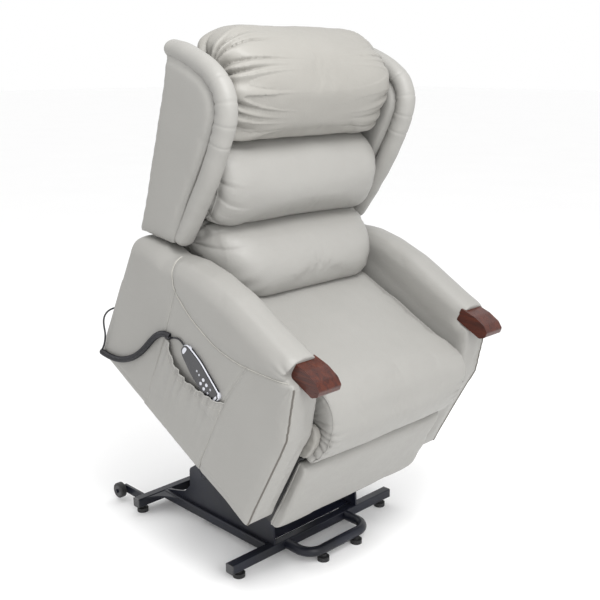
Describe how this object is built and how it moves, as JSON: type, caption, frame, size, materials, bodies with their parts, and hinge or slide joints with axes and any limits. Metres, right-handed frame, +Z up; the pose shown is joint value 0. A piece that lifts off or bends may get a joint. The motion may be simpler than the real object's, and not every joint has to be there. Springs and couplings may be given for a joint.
{
  "type": "lift recliner chair",
  "caption": "High-backed armchair on a low tube base that lifts and tilts forward, with a reclining back and a swing-out leg rest.",
  "frame": {"origin": "on the floor under the middle of the raised chair's plan", "axes": "+Z up, -Y the way the chair faces, +X the chair's left hand side"},
  "size_m": [0.7865, 0.9869, 1.4374],
  "materials": {
    "steel": "satin powder coat",
    "bright_steel": "zinc plated",
    "rubber": "matt",
    "black_plastic": "fine texture",
    "silver_plastic": "satin silver",
    "leather": "soft stone leather",
    "mahogany": "satin lacquer",
    "frame_wood": "raw plywood"
  },
  "bodies": {
    "base": {"base_front_tube": "steel", "base_side_rails": "steel", "base_rear_tube": "steel", "base_middle_tube": "steel", "front_loop": "steel", "tube_end_caps": "black_plastic", "levelling_feet": "rubber", "rear_gussets": "steel", "tower_left": "steel", "tower_right": "steel", "cover_plate": "steel", "base_pins": "bright_steel", "control_box": "black_plastic", "mains_inlet": "black_plastic"},
    "wheel_left": {"transport_wheel_left": "rubber"},
    "wheel_right": {"transport_wheel_right": "rubber"},
    "lift_arm": {"lift_arms": "steel"},
    "short_link": {"short_links": "steel"},
    "lift_actuator": {"lift_motor": "black_plastic", "lift_tube": "black_plastic"},
    "lift_plunger": {"lift_rod": "bright_steel"},
    "seat": {"seat_side_plates": "steel", "seat_cross_tubes": "steel", "link_bar": "steel", "seat_pins": "bright_steel", "seat_deck": "steel", "seat_springs": "bright_steel", "arm_left": "leather", "arm_right": "leather", "arm_boards": "frame_wood", "arm_knuckles": "mahogany", "seat_cushion": "leather", "side_pocket": "leather", "handset_back": "silver_plastic", "handset_front": "black_plastic", "cord_leads": "rubber", "cord_coil": "rubber", "cord_gland": "rubber", "recline_motor": "black_plastic", "legrest_motor": "black_plastic"},
    "button_a": {"button_back_up": "silver_plastic"},
    "button_b": {"button_back_down": "silver_plastic"},
    "button_c": {"button_feet_up": "silver_plastic"},
    "button_d": {"button_feet_down": "silver_plastic"},
    "back": {"back_frame": "frame_wood", "back_panel": "leather", "wing_left": "leather", "wing_right": "leather", "head_pillow": "leather", "middle_pillow": "leather", "lumbar_pillow": "leather"},
    "recline_plunger": {"recline_rod": "bright_steel"},
    "legrest_plunger": {"legrest_rod": "bright_steel"},
    "leg_arm": {"legrest_shaft": "steel"},
    "leg_rear_arm": {"legrest_rear_arms": "steel"},
    "leg_carrier": {"legrest_carriers": "steel"},
    "leg_front_link": {"legrest_front_links": "steel"},
    "leg_board": {"legrest_board": "frame_wood", "legrest_pad": "leather", "legrest_brackets": "steel"}
  },
  "joints": [
    {"name": "wheel_left_spin", "type": "hinge", "parent": "base", "child": "wheel_left", "pos_m": [0, 0.468, 0.034], "axis": [1, 0, 0], "continuous": true},
    {"name": "wheel_right_spin", "type": "hinge", "parent": "base", "child": "wheel_right", "pos_m": [0, 0.468, 0.034], "axis": [1, 0, 0], "continuous": true},
    {"name": "lift", "type": "hinge", "parent": "base", "child": "lift_arm", "pos_m": [0, 0.164, 0.161], "axis": [1, 0, 0], "range_deg": [0, 40.18]},
    {"name": "seat_tilt", "type": "hinge", "parent": "lift_arm", "child": "seat", "pos_m": [0, -0.11375, 0.35062], "axis": [1, 0, 0], "range_deg": [-67.48, 0]},
    {"name": "short_link_turn", "type": "hinge", "parent": "base", "child": "short_link", "pos_m": [0, -0.111, 0.2328], "axis": [1, 0, 0], "range_deg": [0, 59.6]},
    {"name": "lift_actuator_turn", "type": "hinge", "parent": "base", "child": "lift_actuator", "pos_m": [0, 0.1683, 0.0755], "axis": [1, 0, 0], "range_deg": [0, 31.88]},
    {"name": "lift_rod_slide", "type": "slide", "parent": "lift_actuator", "child": "lift_plunger", "axis": [0, -0.652, 0.7582], "range_m": [-0.09721, 0]},
    {"name": "recline", "type": "hinge", "parent": "seat", "child": "back", "pos_m": [0, 0.11998, 0.74483], "axis": [-1, 0, 0], "range_deg": [0, 42]},
    {"name": "recline_rod_slide", "type": "slide", "parent": "seat", "child": "recline_plunger", "axis": [0, -0.8886, -0.4586], "range_m": [0, 0.07885]},
    {"name": "legrest", "type": "hinge", "parent": "seat", "child": "leg_arm", "pos_m": [0, -0.30364, 0.43616], "axis": [-1, 0, 0], "range_deg": [0, 86]},
    {"name": "legrest_rear_turn", "type": "hinge", "parent": "seat", "child": "leg_rear_arm", "pos_m": [0, -0.21758, 0.42206], "axis": [-1, 0, 0], "range_deg": [0, 86]},
    {"name": "legrest_carrier_turn", "type": "hinge", "parent": "leg_arm", "child": "leg_carrier", "pos_m": [0, -0.18253, 0.33941], "axis": [-1, 0, 0], "range_deg": [-86, 0]},
    {"name": "legrest_link_turn", "type": "hinge", "parent": "leg_arm", "child": "leg_front_link", "pos_m": [0, -0.13409, 0.30071], "axis": [-1, 0, 0], "range_deg": [-86, 0]},
    {"name": "legrest_board_turn", "type": "hinge", "parent": "leg_carrier", "child": "leg_board", "pos_m": [0, -0.29418, 0.39657], "axis": [-1, 0, 0], "range_deg": [0, 86]},
    {"name": "legrest_rod_slide", "type": "slide", "parent": "seat", "child": "legrest_plunger", "axis": [0, -0.8886, -0.4586], "range_m": [0, 0.09549]},
    {"name": "back_up_press", "type": "slide", "parent": "seat", "child": "button_a", "axis": [1, 0, 0], "range_m": [0, 0.001], "stiffness_N_per_m": 500},
    {"name": "back_down_press", "type": "slide", "parent": "seat", "child": "button_b", "axis": [1, 0, 0], "range_m": [0, 0.001], "stiffness_N_per_m": 500},
    {"name": "feet_up_press", "type": "slide", "parent": "seat", "child": "button_c", "axis": [1, 0, 0], "range_m": [0, 0.001], "stiffness_N_per_m": 500},
    {"name": "feet_down_press", "type": "slide", "parent": "seat", "child": "button_d", "axis": [1, 0, 0], "range_m": [0, 0.001], "stiffness_N_per_m": 500}
  ],
  "couplings": [
    {"joint": "seat_tilt", "follows": "lift", "ratio": -1.6794},
    {"joint": "short_link_turn", "follows": "lift", "ratio": 1.4833},
    {"joint": "lift_actuator_turn", "follows": "lift", "ratio": 0.7934},
    {"joint": "lift_rod_slide", "follows": "lift", "m_per_rad": -0.1386},
    {"joint": "recline_rod_slide", "follows": "recline", "m_per_rad": 0.10755},
    {"joint": "legrest_rear_turn", "follows": "legrest", "ratio": 1},
    {"joint": "legrest_carrier_turn", "follows": "legrest", "ratio": -1},
    {"joint": "legrest_link_turn", "follows": "legrest", "ratio": -1},
    {"joint": "legrest_board_turn", "follows": "legrest", "ratio": 1},
    {"joint": "legrest_rod_slide", "follows": "legrest", "m_per_rad": 0.063611}
  ]
}
